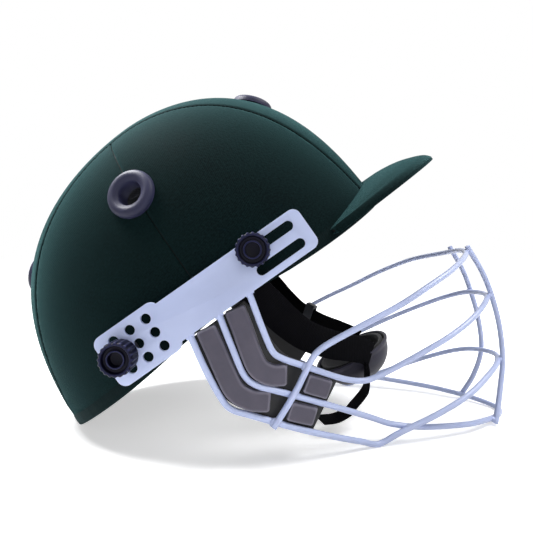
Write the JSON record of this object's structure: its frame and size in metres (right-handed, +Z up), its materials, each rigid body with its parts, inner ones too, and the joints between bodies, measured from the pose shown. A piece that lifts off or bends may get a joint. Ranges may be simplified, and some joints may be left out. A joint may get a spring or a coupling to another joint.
{
  "type": "batting helmet",
  "caption": "Cloth-covered batting helmet with a rounded peak, a welded wire face guard on slotted side plates, temple pads and a chin harness.",
  "frame": {"origin": "on the ground under the middle of the helmet as it lies, leaned back 36 degrees on its nape and on the lowest wires of its guard", "axes": "+X towards the front of the face guard, +Y to the wearer's left, +Z up"},
  "size_m": [0.3828, 0.233, 0.2579],
  "materials": {
    "shell_plastic": "matte",
    "cloth": "matte",
    "binding_cloth": "matte",
    "grommet_plastic": "satin",
    "liner_foam": "matte",
    "pad_cloth": "matte",
    "coated_steel": "satin",
    "backing_sheet": "matte",
    "temple_foam": "matte",
    "knob_plastic": "satin",
    "bare_steel": "satin",
    "spacer_plastic": "matte",
    "webbing": "matte",
    "cup_leather": "matte",
    "cup_foam": "matte"
  },
  "bodies": {
    "helmet": {"shell": "shell_plastic", "cover_centre": "cloth", "cover_front_right": "cloth", "cover_front_left": "cloth", "cover_rear_right": "cloth", "cover_rear_left": "cloth", "rim_binding": "binding_cloth", "peak_board": "shell_plastic", "peak_cover": "cloth", "vent_grommet_right": "grommet_plastic", "vent_grommet_left": "grommet_plastic", "vent_grommet_top": "grommet_plastic", "vent_grommet_rear": "grommet_plastic", "foam_liner": "liner_foam", "sweatband": "pad_cloth", "crown_pad": "pad_cloth", "side_pad_right": "pad_cloth", "side_pad_left": "pad_cloth", "nape_pad": "pad_cloth", "side_plate_right": "coated_steel", "side_plate_left": "coated_steel", "eye_bar": "coated_steel", "upper_bar": "coated_steel", "middle_bar": "coated_steel", "bottom_bar": "coated_steel", "guard_upright_right": "coated_steel", "guard_upright_left": "coated_steel", "temple_backing_right": "backing_sheet", "temple_backing_left": "backing_sheet", "temple_pad_rear_right": "temple_foam", "temple_pad_rear_left": "temple_foam", "temple_pad_front_right": "temple_foam", "temple_pad_front_left": "temple_foam", "jaw_pad_front_right": "temple_foam", "jaw_pad_front_left": "temple_foam", "jaw_pad_rear_right": "temple_foam", "jaw_pad_rear_left": "temple_foam", "plate_spacers": "spacer_plastic", "tee_nuts": "bare_steel", "strap_rivets": "bare_steel"},
    "front_right_washer_body": {"front_right_washer": "bare_steel"},
    "front_right_screw": {"front_right_knob": "knob_plastic", "front_right_shank": "bare_steel"},
    "front_left_washer_body": {"front_left_washer": "bare_steel"},
    "front_left_screw": {"front_left_knob": "knob_plastic", "front_left_shank": "bare_steel"},
    "rear_right_washer_body": {"rear_right_washer": "bare_steel"},
    "rear_right_screw": {"rear_right_knob": "knob_plastic", "rear_right_shank": "bare_steel"},
    "rear_left_washer_body": {"rear_left_washer": "bare_steel"},
    "rear_left_screw": {"rear_left_knob": "knob_plastic", "rear_left_shank": "bare_steel"},
    "chin_harness": {"chin_strap_right": "webbing", "chin_strap_left": "webbing", "chin_cup": "cup_leather", "cup_lining": "cup_foam", "strap_tail": "webbing"},
    "slider": {"strap_slider": "spacer_plastic"}
  },
  "joints": [
    {"name": "front_right_withdraw", "type": "slide", "parent": "helmet", "child": "front_right_washer_body", "axis": [0, -1, 0], "range_m": [0, 0.0064]},
    {"name": "front_right_turn", "type": "hinge", "parent": "front_right_washer_body", "child": "front_right_screw", "pos_m": [-0.00588, -0.1038, 0.13224], "axis": [0, -1, 0], "range_deg": [0, 2880]},
    {"name": "front_left_withdraw", "type": "slide", "parent": "helmet", "child": "front_left_washer_body", "axis": [0, 1, 0], "range_m": [0, 0.0064]},
    {"name": "front_left_turn", "type": "hinge", "parent": "front_left_washer_body", "child": "front_left_screw", "pos_m": [-0.00588, 0.1038, 0.13224], "axis": [0, 1, 0], "range_deg": [0, 2880]},
    {"name": "rear_right_withdraw", "type": "slide", "parent": "helmet", "child": "rear_right_washer_body", "axis": [0, -1, 0], "range_m": [0, 0.0064]},
    {"name": "rear_right_turn", "type": "hinge", "parent": "rear_right_washer_body", "child": "rear_right_screw", "pos_m": [-0.08192, -0.1038, 0.07122], "axis": [0, -1, 0], "range_deg": [0, 2880]},
    {"name": "rear_left_withdraw", "type": "slide", "parent": "helmet", "child": "rear_left_washer_body", "axis": [0, 1, 0], "range_m": [0, 0.0064]},
    {"name": "rear_left_turn", "type": "hinge", "parent": "rear_left_washer_body", "child": "rear_left_screw", "pos_m": [-0.08192, 0.1038, 0.07122], "axis": [0, 1, 0], "range_deg": [0, 2880]},
    {"name": "harness_swing", "type": "hinge", "parent": "helmet", "child": "chin_harness", "pos_m": [-0.01101, 0, 0.11329], "axis": [0, 1, 0], "range_deg": [-6, 6]},
    {"name": "slider_slide", "type": "slide", "parent": "chin_harness", "child": "slider", "axis": [0.744, -0.56, -0.3645], "range_m": [-0.0015, 0.0015]}
  ],
  "couplings": [
    {"joint": "front_right_turn", "follows": "front_right_withdraw", "rad_per_m": 7854},
    {"joint": "front_left_turn", "follows": "front_left_withdraw", "rad_per_m": 7854},
    {"joint": "rear_right_turn", "follows": "rear_right_withdraw", "rad_per_m": 7854},
    {"joint": "rear_left_turn", "follows": "rear_left_withdraw", "rad_per_m": 7854}
  ]
}
